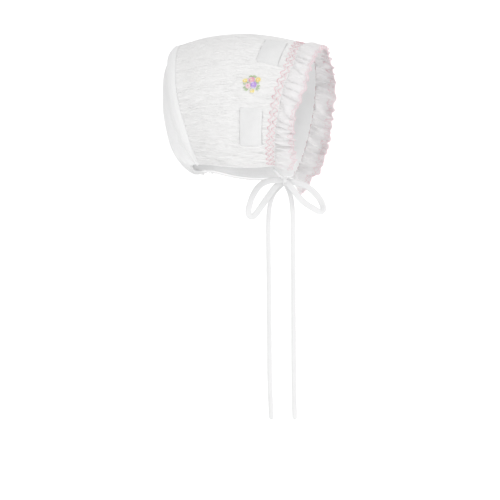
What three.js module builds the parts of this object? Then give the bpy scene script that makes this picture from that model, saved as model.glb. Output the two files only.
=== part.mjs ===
import * as THREE from 'three';

// Baby bonnet with ties. Millimetres, +Z up, face opening towards -Y,
// wearer's right at -X. The origin is the inner crown apex, where the head meets it.

// ---- driving dimensions ----
const WALL = 1.5;          // outer cloth wall
const LINING = 1.0;        // lining wall
const GAP = 0.3;           // clearance between neighbouring pieces
const ARCH_SPLIT = 0.52;   // share of the half arch taken by the upper ellipse
const ARCH_TURN = 74 * Math.PI / 180;   // how far the lower cheek curve turns in
const BACK_DIP = 0.12;     // how far the back seam bows off a straight line
const BODY_ROWS = 10, ARCH_COLS = 32, BACK_ROWS = 6;
const RUFFLE_FOLDS = 33, RUFFLE_COLS = 198, RUFFLE_ROWS = 3;
const RUFFLE_WALL = 1.7, RUFFLE_WAVE_SEAM = 0.6, RUFFLE_WAVE_EDGE = 1.8;
const RIBBON_WALL = 1.0, RIBBON_LIFT = 0.45;   // the strips stand a little clear of the curved cloth
const TIE_T = 2.2, TIE_SIDES = 8;   // widths are in the routes: narrow where the tape is folded
const KNOT = { x: -4, y: -53.4, z: -151.2, rx: 5.2, ry: 3.2, rz: 4.0 };

// ---- body sections from the front seam (s 0) to the back seam (s 1) ----
const BODY = [
  { s: 0.00, yTop: -78.4, zTop: -13.1, half: 62.3, zMid: -78.7, xLow: 32.6, zLow: -141.0, yLow: -51.4 },
  { s: 0.25, yTop: -43.3, zTop: -2.7, half: 61.4, zMid: -72.7, xLow: 34.1, zLow: -141.7, yLow: -29.7 },
  { s: 0.50, yTop: -9.0, zTop: 2.8, half: 59.8, zMid: -69.9, xLow: 36.0, zLow: -140.6, yLow: -8.7 },
  { s: 0.75, yTop: 24.5, zTop: 2.1, half: 55.2, zMid: -70.4, xLow: 34.2, zLow: -137.3, yLow: 11.9 },
  { s: 1.00, yTop: 56.8, zTop: -3.4, half: 46.8, zMid: -73.8, xLow: 23.5, zLow: -133.1, yLow: 31.2 },
];
// ---- back panel: neck edge and how it leaves the seam and meets the neck ----
const NECK = { x: 20.4, y: 44.1, z: -136.6, yEnd: 39.2, zEnd: -133.6 };
const LEAVE = { x: 0.25, y: 31.1, z: -13.9 };
const MEET = { x: 0.37, y: 25.4, z: 5.8 };
// ---- ruffle: width, outward lean, drop and inward tuck of its edge round the face ----
const RUFFLE = [
  { a: -1.00, wide: 15.0, lean: -2.0, drop: 7.5 },
  { a: -0.95, wide: 19.6, lean: -1.0, drop: 1.5 },
  { a: -0.90, wide: 20.0, lean: -0.5, drop: 0.2 },
  { a: -0.85, wide: 18.8, lean: 0.0, drop: 0.0 },
  { a: -0.78, wide: 18.2, lean: 0.5, drop: 0.0 },
  { a: -0.68, wide: 17.6, lean: 0.7, drop: 0.0 },
  { a: -0.60, wide: 17.4, lean: 1.0, drop: 0.0 },
  { a: -0.53, wide: 20.4, lean: 1.2, drop: 0.0 },
  { a: -0.30, wide: 20.7, lean: 1.5, drop: 0.0 },
  { a: 0.00, wide: 18.1, lean: 1.5, drop: 0.0 },
  { a: 0.08, wide: 16.1, lean: 1.5, drop: 0.0 },
  { a: 0.16, wide: 17.3, lean: 1.5, drop: 0.0 },
  { a: 0.30, wide: 20.0, lean: 1.5, drop: 0.0 },
  { a: 0.50, wide: 20.5, lean: 1.2, drop: 0.0 },
  { a: 0.62, wide: 22.2, lean: 0.9, drop: 0.0 },
  { a: 0.76, wide: 22.2, lean: 0.6, drop: 0.0 },
  { a: 0.86, wide: 22.8, lean: 0.0, drop: 2.0 },
  { a: 0.94, wide: 19.5, lean: -1.0, drop: 6.5 },
  { a: 1.00, wide: 15.0, lean: -2.0, drop: 15.5 },
];
// ---- satin ribbon windows: corners on the body as (s, a) ----
const WINDOWS = {
  upper: [[0.247, 0.183], [0.099, 0.177], [0.095, 0.380], [0.260, 0.361]],
  lower: [[0.364, 0.601], [0.155, 0.608], [0.142, 0.811], [0.369, 0.810]],
};
// ---- tie routes: centreline points x, y, z ----
const ROUTES = {
  tie_right_lead: { flat: [0, -1, 0], wide: 4.0, step: 5, ends: 'last', pts: [
    [-31.5, -48.5, -143.3], [-26.5, -49.9, -145.2], [-19, -50.2, -146.1], [-11.5, -50.7, -147.5], [-4, -53.4, -151.2]] },
  tie_left_lead: { flat: [0, -1, 0], wide: 4.0, step: 5, ends: 'last', pts: [
    [31, -49.6, -143.9], [24, -50.4, -145.9], [15, -51.6, -147.8], [6.5, -52.6, -149.8], [-4, -53.4, -151.2]] },
  bow_loop_right: { flat: [1, 0.2, 0], wide: 5.8, step: 6, ends: 'both', pts: [
    [-7.4, -54.2, -151.8], [-7.8, -49.3, -150.7], [-9, -44.9, -150.4], [-10.5, -39.1, -151], [-11.5, -29.6, -155.1],
    [-12, -22.6, -164], [-11.8, -18.6, -173.8], [-11, -16.9, -181.2], [-9.8, -17.5, -185.2], [-8.6, -20.2, -186.1],
    [-7.8, -23.2, -184.1], [-7.2, -26.3, -179.9], [-6.8, -30.8, -173.6], [-6.2, -37.9, -163.9], [-5.4, -44.4, -155.8],
    [-4.8, -48.7, -152.8], [-4.2, -53.4, -151.2]] },
  bow_loop_left: { flat: [1, 0.2, 0], wide: 5.8, step: 6, ends: 'both', pts: [
    [-1, -52.6, -150.6], [-0.8, -57.6, -151.2], [0.4, -63, -152.3], [2.2, -71.8, -155.5], [3, -79.8, -161.4],
    [3, -85.8, -168.5], [2, -89.7, -175.9], [0.4, -90.8, -180.5], [-1.4, -89, -183.2], [-3.2, -85.8, -182.5],
    [-5, -81.6, -179.9], [-6.8, -73.9, -174.6], [-7.8, -67.1, -167.4], [-7.8, -60.6, -159.1], [-7.6, -57.3, -155],
    [-7.4, -54.2, -151.8]] },
  tie_right_tail: { flat: [1, 0.2, 0], wide: 4.8, step: 10, ends: 'first', pts: [
    [-1.4, -52.7, -150.7], [-1.2, -47.8, -154.2], [-1.4, -43.7, -158.3], [-2.4, -40.2, -163.8], [-3.8, -38.1, -170.4],
    [-5, -36.7, -179.1], [-6, -36.3, -188.8], [-7, -36.4, -210.1], [-7.5, -36.9, -240.1], [-7, -37, -269.9],
    [-7, -37.2, -299.5], [-7, -37.3, -329], [-7, -37.6, -353.4], [-7, -38.3, -369.9], [-7, -39.1, -387]] },
  tie_left_tail: { flat: [1, 0.2, 0], wide: 4.8, step: 10, ends: 'first', pts: [
    [-4.4, -53.5, -151.2], [-4.2, -55.3, -157.2], [-3.6, -57.4, -162.8], [-2.4, -58.7, -169.1], [-1, -59.4, -177],
    [0.6, -59.6, -188.9], [1.8, -59.4, -209.8], [2, -59.5, -239.8], [2, -59.5, -269.6], [2, -59.5, -299.3],
    [2, -59.5, -328.8], [2, -59.6, -353.3], [2, -59.9, -369.8], [2, -60.4, -386.9]] },
};

// ---- small vector helpers ----
const add = (p, q, k = 1) => [p[0] + k * q[0], p[1] + k * q[1], p[2] + k * q[2]];
const sub = (p, q) => [p[0] - q[0], p[1] - q[1], p[2] - q[2]];
const dot = (p, q) => p[0] * q[0] + p[1] * q[1] + p[2] * q[2];
const cross = (p, q) => [p[1] * q[2] - p[2] * q[1], p[2] * q[0] - p[0] * q[2], p[0] * q[1] - p[1] * q[0]];
const unit = (p) => { const l = Math.hypot(...p); return [p[0] / l, p[1] / l, p[2] / l]; };

// smooth table lookup: cubic through the rows, slopes from the neighbours
function look(rows, key, col, x) {
  const n = rows.length;
  let i = 0;
  while (i < n - 2 && x >= rows[i + 1][key]) i++;
  const X = (k) => rows[k][key], Y = (k) => rows[k][col];
  const slope = (k) => {
    if (k === 0) return (Y(1) - Y(0)) / (X(1) - X(0));
    if (k === n - 1) return (Y(n - 1) - Y(n - 2)) / (X(n - 1) - X(n - 2));
    const h0 = X(k) - X(k - 1), h1 = X(k + 1) - X(k);
    const d0 = (Y(k) - Y(k - 1)) / h0, d1 = (Y(k + 1) - Y(k)) / h1;
    return (d0 * h1 + d1 * h0) / (h0 + h1);
  };
  const h = X(i + 1) - X(i), t = (x - X(i)) / h, t2 = t * t, t3 = t2 * t;
  return (2 * t3 - 3 * t2 + 1) * Y(i) + (t3 - 2 * t2 + t) * h * slope(i)
    + (-2 * t3 + 3 * t2) * Y(i + 1) + (t3 - t2) * h * slope(i + 1);
}

// point on the body's outer face: s front to back, a from right lower edge (-1) over the top (0) to the left one (1)
function body(s, a) {
  const c = (col) => look(BODY, 's', col, s);
  const yTop = c('yTop'), zTop = c('zTop'), half = c('half'), zMid = c('zMid'), xLow = c('xLow'), zLow = c('zLow'), yLow = c('yLow');
  const b = Math.abs(a), sign = Math.sign(a);
  let x, z;
  if (b < ARCH_SPLIT) {
    const p = b / ARCH_SPLIT * Math.PI / 2;
    x = half * Math.sin(p); z = zMid + (zTop - zMid) * Math.cos(p);
  } else {
    const p = (b - ARCH_SPLIT) / (1 - ARCH_SPLIT) * ARCH_TURN;
    x = half - (half - xLow) * (1 - Math.cos(p)) / (1 - Math.cos(ARCH_TURN));
    z = zMid - (zMid - zLow) * Math.sin(p) / Math.sin(ARCH_TURN);
  }
  const q = (zTop - z) / (zTop - zLow);
  const g = q - BACK_DIP * s * Math.sin(Math.PI * q) ** 2;
  return [x * sign, yTop + (yLow - yTop) * g, z];
}

// point on the back panel's outer face: r from the seam (0) to the neck edge (1)
function back(r, a) {
  const p0 = body(1, a), b = Math.abs(a), k = 1 - 0.9 * b ** 3;
  const p3 = [NECK.x * a, NECK.y - (NECK.y - NECK.yEnd) * a * a, NECK.z + (NECK.zEnd - NECK.z) * a * a];
  const p1 = add(p0, [-p0[0] * LEAVE.x * k, 2 + LEAVE.y * k, LEAVE.z * (1 - b)]);
  const p2 = add(p3, [p3[0] * MEET.x * k, -2 + MEET.y * k, 0.5 + MEET.z * (1 - b * b)]);
  const w = [(1 - r) ** 3, 3 * r * (1 - r) ** 2, 3 * r * r * (1 - r), r ** 3];
  return [0, 1, 2].map((i) => w[0] * p0[i] + w[1] * p1[i] + w[2] * p2[i] + w[3] * p3[i]);
}

// outward normal and the two tangents of a surface function
function frameAt(f, u, a) {
  const e = 1e-3, u0 = Math.max(0, u - e), u1 = Math.min(1, u + e);
  const a0 = Math.max(-1, a - e), a1 = Math.min(1, a + e);
  const tu = unit(sub(f(u1, a), f(u0, a))), ta = unit(sub(f(u, a1), f(u, a0)));
  return { tu, ta, n: unit(cross(ta, tu)) };
}

// ---- closed meshes ----
function finish(name, verts, faces, look2) {
  let vol = 0;
  for (const [i, j, k] of faces) vol += dot(verts[i], cross(verts[j], verts[k])) / 6;
  const flip = vol < 0;
  const geo = new THREE.BufferGeometry();
  geo.setAttribute('position', new THREE.BufferAttribute(new Float32Array(verts.flat()), 3));
  geo.setIndex(faces.flatMap(([i, j, k]) => (flip ? [i, k, j] : [i, j, k])));
  geo.computeVertexNormals();
  const mesh = new THREE.Mesh(geo, new THREE.MeshStandardMaterial({ ...look2, name: name + '_mat' }));
  mesh.name = name;
  return mesh;
}
// a shell between two grids of points of the same size
function shell(name, top, low, look2) {
  const R = top.length, C = top[0].length, verts = [...top.flat(), ...low.flat()], faces = [];
  const T = (i, j) => i * C + j, L = (i, j) => R * C + i * C + j;
  const quad = (p, q, r, s) => { faces.push([p, q, r], [p, r, s]); };
  for (let i = 0; i < R - 1; i++) for (let j = 0; j < C - 1; j++) {
    quad(T(i, j), T(i + 1, j), T(i + 1, j + 1), T(i, j + 1));
    quad(L(i, j), L(i, j + 1), L(i + 1, j + 1), L(i + 1, j));
  }
  for (let j = 0; j < C - 1; j++) {
    quad(T(0, j), T(0, j + 1), L(0, j + 1), L(0, j));
    quad(T(R - 1, j + 1), T(R - 1, j), L(R - 1, j), L(R - 1, j + 1));
  }
  for (let i = 0; i < R - 1; i++) {
    quad(T(i + 1, 0), T(i, 0), L(i, 0), L(i + 1, 0));
    quad(T(i, C - 1), T(i + 1, C - 1), L(i + 1, C - 1), L(i, C - 1));
  }
  return finish(name, verts, faces, look2);
}

// seam row between body and back panel: both offset along the shared mitre
function seamRow(a, depth, shift) {
  const nb = frameAt(body, 1, a), nk = frameAt(back, 0, a);
  const m = add(nb.n, nk.n), k = depth / (1 + dot(nb.n, nk.n));
  const along = shift < 0 ? nb.tu : nk.tu;
  return add(add(body(1, a), m, -k), along, shift);
}
const arches = Array.from({ length: ARCH_COLS + 1 }, (_, j) => -1 + 2 * j / ARCH_COLS);
const bodyRow = (s, depth) => arches.map((a) => add(body(s, a), frameAt(body, s, a).n, -depth));
const backRow = (r, depth) => arches.map((a) => add(back(r, a), frameAt(back, r, a).n, -depth));

const COTTON = { color: 0xf6f6f4, roughness: 0.92, metalness: 0 };
const SMOOTH = { color: 0xf2f2f1, roughness: 0.85, metalness: 0 };
const SATIN = { color: 0xfafafa, roughness: 0.35, metalness: 0 };
const FRILL = { color: 0xf5f1f1, roughness: 0.9, metalness: 0 };
const TAPE = { color: 0xfbfbfb, roughness: 0.6, metalness: 0 };

const group = new THREE.Group();
group.name = 'baby_bonnet';

// crown body
{
  const rows = (d) => {
    const out = [];
    for (let i = 0; i < BODY_ROWS; i++) out.push(bodyRow(i / BODY_ROWS, d));
    out.push(arches.map((a) => seamRow(a, d, -GAP / 2)));
    return out;
  };
  group.add(shell('crown_body', rows(0), rows(WALL), COTTON));
}
// back panel
{
  const rows = (d) => {
    const out = [arches.map((a) => seamRow(a, d, GAP / 2))];
    for (let i = 1; i <= BACK_ROWS; i++) out.push(backRow(i / BACK_ROWS, d));
    return out;
  };
  group.add(shell('back_panel', rows(0), rows(WALL), SMOOTH));
}
// lining, one skin inside both
{
  const rows = (d) => {
    const out = [];
    for (let i = 0; i < BODY_ROWS; i++) out.push(bodyRow(i / BODY_ROWS, d));
    out.push(arches.map((a) => seamRow(a, d, 0)));
    for (let i = 1; i <= BACK_ROWS; i++) out.push(backRow(i / BACK_ROWS, d));
    return out;
  };
  group.add(shell('lining', rows(WALL + GAP), rows(WALL + GAP + LINING), SMOOTH));
}
// face ruffle
{
  const grid = (d) => {
    const out = [];
    for (let i = 0; i <= RUFFLE_ROWS; i++) {
      const t = i / RUFFLE_ROWS, row = [];
      for (let j = 0; j <= RUFFLE_COLS; j++) {
        const a = -1 + 2 * j / RUFFLE_COLS, f = frameAt(body, 0, a);
        const wide = look(RUFFLE, 'a', 'wide', a), lean = look(RUFFLE, 'a', 'lean', a), drop = look(RUFFLE, 'a', 'drop', a);
        const phase = Math.PI * RUFFLE_FOLDS * (a + 1) + 0.7 * Math.sin(5 * a * Math.PI);
        const fade = Math.min(1, (1 - Math.abs(a)) / 0.03);
        const wave = (RUFFLE_WAVE_SEAM + (RUFFLE_WAVE_EDGE - RUFFLE_WAVE_SEAM) * t) * Math.sin(phase) * fade;
        let p = add(body(0, a), f.tu, -(GAP + wide * t));
        p = add(p, f.n, lean * t * t + wave - d);
        row.push(add(p, [0, 0, -1], drop * t));
      }
      out.push(row);
    }
    return out;
  };
  group.add(shell('face_ruffle', grid(0), grid(RUFFLE_WALL), FRILL));
}
// satin ribbon windows, mirrored left and right
for (const [side, sign] of [['right', -1], ['left', 1]]) {
  for (const [where, q] of Object.entries(WINDOWS)) {
    const grid = (h) => {
      const out = [];
      for (let i = 0; i <= 5; i++) {
        const row = [];
        for (let j = 0; j <= 8; j++) {
          const u = i / 5, v = j / 8;
          const mix = (k) => (1 - u) * (1 - v) * q[0][k] + u * (1 - v) * q[1][k] + u * v * q[2][k] + (1 - u) * v * q[3][k];
          const s = mix(0), a = sign * mix(1);
          row.push(add(body(s, a), frameAt(body, s, a).n, h));
        }
        out.push(row);
      }
      return out;
    };
    group.add(shell('ribbon_' + side + '_' + where, grid(RIBBON_LIFT + RIBBON_WALL), grid(RIBBON_LIFT), SATIN));
  }
}
// knot: a soft ellipsoid
{
  const verts = [[0, 0, 1]], faces = [], R = 6, C = 12;
  for (let i = 1; i < R; i++) for (let j = 0; j < C; j++) {
    const p = Math.PI * i / R, q = 2 * Math.PI * j / C;
    verts.push([Math.sin(p) * Math.cos(q), Math.sin(p) * Math.sin(q), Math.cos(p)]);
  }
  verts.push([0, 0, -1]);
  const V = (i, j) => 1 + (i - 1) * C + (j % C), last = verts.length - 1;
  for (let j = 0; j < C; j++) {
    faces.push([0, V(1, j), V(1, j + 1)], [last, V(R - 1, j + 1), V(R - 1, j)]);
    for (let i = 1; i < R - 1; i++) faces.push([V(i, j), V(i + 1, j), V(i + 1, j + 1)], [V(i, j), V(i + 1, j + 1), V(i, j + 1)]);
  }
  const pts = verts.map((v) => [KNOT.x + KNOT.rx * v[0], KNOT.y + KNOT.ry * v[1], KNOT.z + KNOT.rz * v[2]]);
  group.add(finish('bow_knot', pts, faces, TAPE));
}
// ties: flat soft tape extruded along its route, cut clear of the knot
function outsideKnot(p) {
  const m = GAP + TIE_T / 2 + 0.25;
  return ((p[0] - KNOT.x) / (KNOT.rx + m)) ** 2 + ((p[1] - KNOT.y) / (KNOT.ry + m)) ** 2 + ((p[2] - KNOT.z) / (KNOT.rz + m)) ** 2 > 1;
}
const tapeSection = (wide) => new THREE.Shape(Array.from({ length: TIE_SIDES }, (_, j) => {
  const q = 2 * Math.PI * (j + 0.5) / TIE_SIDES;
  return new THREE.Vector2(wide / 2 * Math.cos(q), TIE_T / 2 * Math.sin(q));
}));
for (const [name, route] of Object.entries(ROUTES)) {
  const whole = new THREE.CatmullRomCurve3(route.pts.map((p) => new THREE.Vector3(...p)), false, 'centripetal');
  const fine = whole.getSpacedPoints(400);
  let i0 = 0, i1 = 400;
  if (route.ends !== 'last') while (!outsideKnot(fine[i0].toArray())) i0++;
  if (route.ends !== 'first') while (!outsideKnot(fine[i1].toArray())) i1--;
  const steps = Math.round(whole.getLength() * (i1 - i0) / 400 / route.step);
  const path = new THREE.CatmullRomCurve3(fine.slice(i0, i1 + 1).filter((_, i, all) => i % 5 === 0 || i === all.length - 1), false, 'centripetal');
  const flat = new THREE.Vector3(...route.flat);
  // the tape keeps its flat face towards one side all along
  path.computeFrenetFrames = (n) => {
    const frames = { tangents: [], normals: [], binormals: [] };
    for (let k = 0; k <= n; k++) {
      const t = path.getTangentAt(k / n), across = new THREE.Vector3().crossVectors(t, flat).normalize();
      frames.tangents.push(t); frames.normals.push(across);
      frames.binormals.push(new THREE.Vector3().crossVectors(t, across).normalize());
    }
    return frames;
  };
  const geo = new THREE.ExtrudeGeometry(tapeSection(route.wide), { steps, bevelEnabled: false, extrudePath: path });
  const mesh = new THREE.Mesh(geo, new THREE.MeshStandardMaterial({ ...TAPE, name: name + '_mat' }));
  mesh.name = name;
  group.add(mesh);
}

export default group;
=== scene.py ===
import bpy, math
import numpy as np
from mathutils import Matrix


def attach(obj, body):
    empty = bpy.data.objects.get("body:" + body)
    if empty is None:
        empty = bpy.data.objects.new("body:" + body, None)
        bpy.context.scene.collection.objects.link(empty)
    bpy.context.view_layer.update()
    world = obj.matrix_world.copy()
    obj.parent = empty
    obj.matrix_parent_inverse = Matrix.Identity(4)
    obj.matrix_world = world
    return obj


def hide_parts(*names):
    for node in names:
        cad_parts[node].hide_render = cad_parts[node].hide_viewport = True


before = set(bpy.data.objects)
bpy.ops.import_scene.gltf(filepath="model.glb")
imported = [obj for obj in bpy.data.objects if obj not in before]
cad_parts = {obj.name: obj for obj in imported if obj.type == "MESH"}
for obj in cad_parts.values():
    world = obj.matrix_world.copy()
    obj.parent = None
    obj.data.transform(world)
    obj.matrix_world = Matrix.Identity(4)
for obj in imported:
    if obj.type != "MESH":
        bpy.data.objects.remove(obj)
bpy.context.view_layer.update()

MM = 0.001

# ------------------------------------------------------------------ camera
# The picture is taken as 500 x 500. The camera looks up a little, from the wearer's right and front.
CAM_TURN, CAM_RISE, CAM_FAR = math.radians(16.06), math.radians(7.70), 1400.0
CAM_AIM = np.array([0.0, -15.4, -218.4])
look_dir = np.array([math.cos(CAM_TURN) * math.cos(CAM_RISE), math.sin(CAM_TURN) * math.cos(CAM_RISE), math.sin(CAM_RISE)])
cam_right = np.array([math.sin(CAM_TURN), -math.cos(CAM_TURN), 0.0])
cam_up = np.cross(cam_right, look_dir)
cam_data = bpy.data.cameras.new("camera")
cam_data.sensor_width = 36.0
cam_data.lens = 100.8
cam_data.clip_start, cam_data.clip_end = 0.05, 30.0
camera = bpy.data.objects.new("camera", cam_data)
bpy.context.collection.objects.link(camera)
from mathutils import Matrix
rows = np.eye(4)
rows[:3, 0], rows[:3, 1], rows[:3, 2] = cam_right, cam_up, -look_dir
rows[:3, 3] = (CAM_AIM - CAM_FAR * look_dir) * MM
camera.matrix_world = Matrix(rows.tolist())
bpy.context.scene.camera = camera

# ------------------------------------------------------------------ tables shared with the construction (mm)
WALL, LINING, GAP = 1.5, 1.0, 0.3
SPLIT, TURN, DIP = 0.52, math.radians(74), 0.12
#                s     yTop   zTop   half  zMid   xLow  zLow    yLow
BODY = np.array([
    [0.00, -78.4, -13.1, 62.3, -78.7, 32.6, -141.0, -51.4],
    [0.25, -43.3,  -2.7, 61.4, -72.7, 34.1, -141.7, -29.7],
    [0.50,  -9.0,   2.8, 59.8, -69.9, 36.0, -140.6,  -8.7],
    [0.75,  24.5,   2.1, 55.2, -70.4, 34.2, -137.3,  11.9],
    [1.00,  56.8,  -3.4, 46.8, -73.8, 23.5, -133.1,  31.2],
])
NECK = dict(x=20.4, y=44.1, z=-136.6, y_end=39.2, z_end=-133.6)
LEAVE, MEET = (0.25, 31.1, -13.9), (0.37, 25.4, 5.8)
#                  a      wide  lean  drop
RUFFLE = np.array([
    [-1.00, 15.0, -2.0,  7.5],
    [-0.95, 19.6, -1.0,  1.5],
    [-0.90, 20.0, -0.5,  0.2],
    [-0.85, 18.8,  0.0,  0.0],
    [-0.78, 18.2,  0.5,  0.0],
    [-0.68, 17.6,  0.7,  0.0],
    [-0.60, 17.4,  1.0,  0.0],
    [-0.53, 20.4,  1.2,  0.0],
    [-0.30, 20.7,  1.5,  0.0],
    [ 0.00, 18.1,  1.5,  0.0],
    [ 0.08, 16.1,  1.5,  0.0],
    [ 0.16, 17.3,  1.5,  0.0],
    [ 0.30, 20.0,  1.5,  0.0],
    [ 0.50, 20.5,  1.2,  0.0],
    [ 0.62, 22.2,  0.9,  0.0],
    [ 0.76, 22.2,  0.6,  0.0],
    [ 0.86, 22.8,  0.0,  2.0],
    [ 0.94, 19.5, -1.0,  6.5],
    [ 1.00, 15.0, -2.0, 15.5],
])
WINDOWS = {
    "upper": [(0.247, 0.183), (0.099, 0.177), (0.095, 0.380), (0.260, 0.361)],
    "lower": [(0.364, 0.601), (0.155, 0.608), (0.142, 0.811), (0.369, 0.810)],
}


def look(rows, x):
    """Smooth table lookup; returns the columns after the first."""
    x = np.asarray(x, float)
    X = rows[:, 0]
    n = len(X)
    i = np.clip(np.searchsorted(X, x, side="right") - 1, 0, n - 2)
    h = X[i + 1] - X[i]
    t = (x - X[i]) / h
    t2, t3 = t * t, t * t * t
    out = []
    for k in range(1, rows.shape[1]):
        Y = rows[:, k]
        d = np.diff(Y) / np.diff(X)
        hs = np.diff(X)
        m = np.empty(n)
        m[0], m[-1] = d[0], d[-1]
        m[1:-1] = (d[:-1] * hs[1:] + d[1:] * hs[:-1]) / (hs[:-1] + hs[1:])
        out.append((2 * t3 - 3 * t2 + 1) * Y[i] + (t3 - 2 * t2 + t) * h * m[i] + (-2 * t3 + 3 * t2) * Y[i + 1] + (t3 - t2) * h * m[i + 1])
    return out


def body(s, a):
    """Outer face of the body: s front seam to back seam, a right lower edge over the top to the left one."""
    s, a = np.broadcast_arrays(np.asarray(s, float), np.asarray(a, float))
    y_top, z_top, half, z_mid, x_low, z_low, y_low = look(BODY, s)
    b = np.abs(a)
    p = np.clip(b / SPLIT, 0, 1) * math.pi / 2
    q = np.clip((b - SPLIT) / (1 - SPLIT), 0, None) * TURN
    up = b < SPLIT
    x = np.where(up, half * np.sin(p), half - (half - x_low) * (1 - np.cos(q)) / (1 - math.cos(TURN)))
    z = np.where(up, z_mid + (z_top - z_mid) * np.cos(p), z_mid - (z_mid - z_low) * np.sin(q) / math.sin(TURN))
    f = (z_top - z) / (z_top - z_low)
    g = f - DIP * s * np.sin(math.pi * f) ** 2
    return np.stack([x * np.sign(a), y_top + (y_low - y_top) * g, z], -1)


def back(r, a):
    """Outer face of the back panel: r from its seam (0) to the neck edge (1)."""
    r, a = np.broadcast_arrays(np.asarray(r, float), np.asarray(a, float))
    p0 = body(np.ones_like(a), a)
    b = np.abs(a)
    k = 1 - 0.9 * b ** 3
    p3 = np.stack([NECK["x"] * a, NECK["y"] - (NECK["y"] - NECK["y_end"]) * a * a, NECK["z"] + (NECK["z_end"] - NECK["z"]) * a * a], -1)
    p1 = p0 + np.stack([-p0[..., 0] * LEAVE[0] * k, 2 + LEAVE[1] * k, LEAVE[2] * (1 - b)], -1)
    p2 = p3 + np.stack([p3[..., 0] * MEET[0] * k, -2 + MEET[1] * k, 0.5 + MEET[2] * (1 - b * b)], -1)
    r = r[..., None]
    return (1 - r) ** 3 * p0 + 3 * r * (1 - r) ** 2 * p1 + 3 * r * r * (1 - r) * p2 + r ** 3 * p3


def unit(v):
    return v / np.maximum(np.linalg.norm(v, axis=-1, keepdims=True), 1e-9)


def frames(f, u, a):
    """Unit tangents along u and a, and the outward normal."""
    e = 1e-3
    u, a = np.broadcast_arrays(np.asarray(u, float), np.asarray(a, float))
    tu = unit(f(np.minimum(u + e, 1), a) - f(np.maximum(u - e, np.minimum(u, 0)), a))
    ta = unit(f(u, np.minimum(a + e, 1)) - f(u, np.maximum(a - e, -1)))
    return tu, ta, unit(np.cross(ta, tu))


def smooth(x, lo, hi):
    t = np.clip((np.asarray(x, float) - lo) / (hi - lo), 0, 1)
    return t * t * (3 - 2 * t)


def noise(x, y, seed=0):
    """Seeded gradient noise, about -1 to 1."""
    x, y = np.broadcast_arrays(np.asarray(x, float), np.asarray(y, float))
    xi, yi = np.floor(x).astype(np.int64), np.floor(y).astype(np.int64)
    fx, fy = x - xi, y - yi

    def corner(i, j):
        h = (i * 374761393 + j * 668265263 + seed * 974634777) & 0xFFFFFFFF
        h = ((h ^ (h >> 13)) * 1274126177) & 0xFFFFFFFF
        return ((h ^ (h >> 16)) & 0xFFFF) / 65536.0 * 2 * math.pi

    ux, uy = fx * fx * fx * (fx * (fx * 6 - 15) + 10), fy * fy * fy * (fy * (fy * 6 - 15) + 10)
    d = []
    for i, j in ((0, 0), (1, 0), (0, 1), (1, 1)):
        g = corner(xi + i, yi + j)
        d.append(np.cos(g) * (fx - i) + np.sin(g) * (fy - j))
    return 1.5 * ((d[0] * (1 - ux) + d[1] * ux) * (1 - uy) + (d[2] * (1 - ux) + d[3] * ux) * uy)


# ------------------------------------------------------------------ meshes
def make_mesh(name, verts, faces, uv=None, mat=None, slot=None, smooth_faces=True):
    me = bpy.data.meshes.new(name)
    verts = np.asarray(verts, float)
    me.from_pydata((verts * MM).tolist(), [], faces.tolist() if isinstance(faces, np.ndarray) else faces)
    if uv is not None:
        layer = me.uv_layers.new(name="UVMap")
        idx = np.empty(len(me.loops), np.int32)
        me.loops.foreach_get("vertex_index", idx)
        layer.data.foreach_set("uv", np.asarray(uv, np.float32)[idx].ravel())
    if smooth_faces:
        me.polygons.foreach_set("use_smooth", np.ones(len(me.polygons), bool))
    me.update()
    ob = bpy.data.objects.new(name, me)
    bpy.context.collection.objects.link(ob)
    if mat is not None:
        me.materials.append(mat)
    if slot:
        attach(ob, "root")
    return ob


def shell_faces(R, C):
    i, j = np.meshgrid(np.arange(R - 1), np.arange(C - 1), indexing="ij")
    T = (i * C + j).ravel()
    top = np.stack([T, T + 1, T + C + 1, T + C], -1)
    o = R * C
    low = np.stack([T, T + C, T + C + 1, T + 1], -1) + o
    j = np.arange(C - 1)
    e0 = np.stack([j, o + j, o + j + 1, j + 1], -1)
    L = (R - 1) * C
    e1 = np.stack([L + j, L + j + 1, o + L + j + 1, o + L + j], -1)
    i = np.arange(R - 1)
    e2 = np.stack([i * C, (i + 1) * C, o + (i + 1) * C, o + i * C], -1)
    e3 = np.stack([i * C + C - 1, o + i * C + C - 1, o + (i + 1) * C + C - 1, (i + 1) * C + C - 1], -1)
    return np.concatenate([top, low, e0, e1, e2, e3])


def outward(verts, faces):
    """Turns the faces over if the closed mesh is inside out."""
    v = verts[faces[:, :3]]
    w = verts[faces[:, [0, 2, 3]]]
    vol = np.einsum("ij,ij->i", v[:, 0], np.cross(v[:, 1], v[:, 2])).sum() + np.einsum("ij,ij->i", w[:, 0], np.cross(w[:, 1], w[:, 2])).sum()
    return faces[:, ::-1].copy() if vol < 0 else faces


def shell(name, top, low, uv=None, mat=None, slot=None):
    R, C = top.shape[:2]
    verts = np.concatenate([top.reshape(-1, 3), low.reshape(-1, 3)])
    faces = outward(verts, shell_faces(R, C))
    if uv is not None:
        uv = np.concatenate([uv.reshape(-1, 2)] * 2)
    ob = make_mesh(name, verts, faces, uv, mat, slot)
    ob.data.set_sharp_from_angle(angle=math.radians(62))
    return ob


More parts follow.
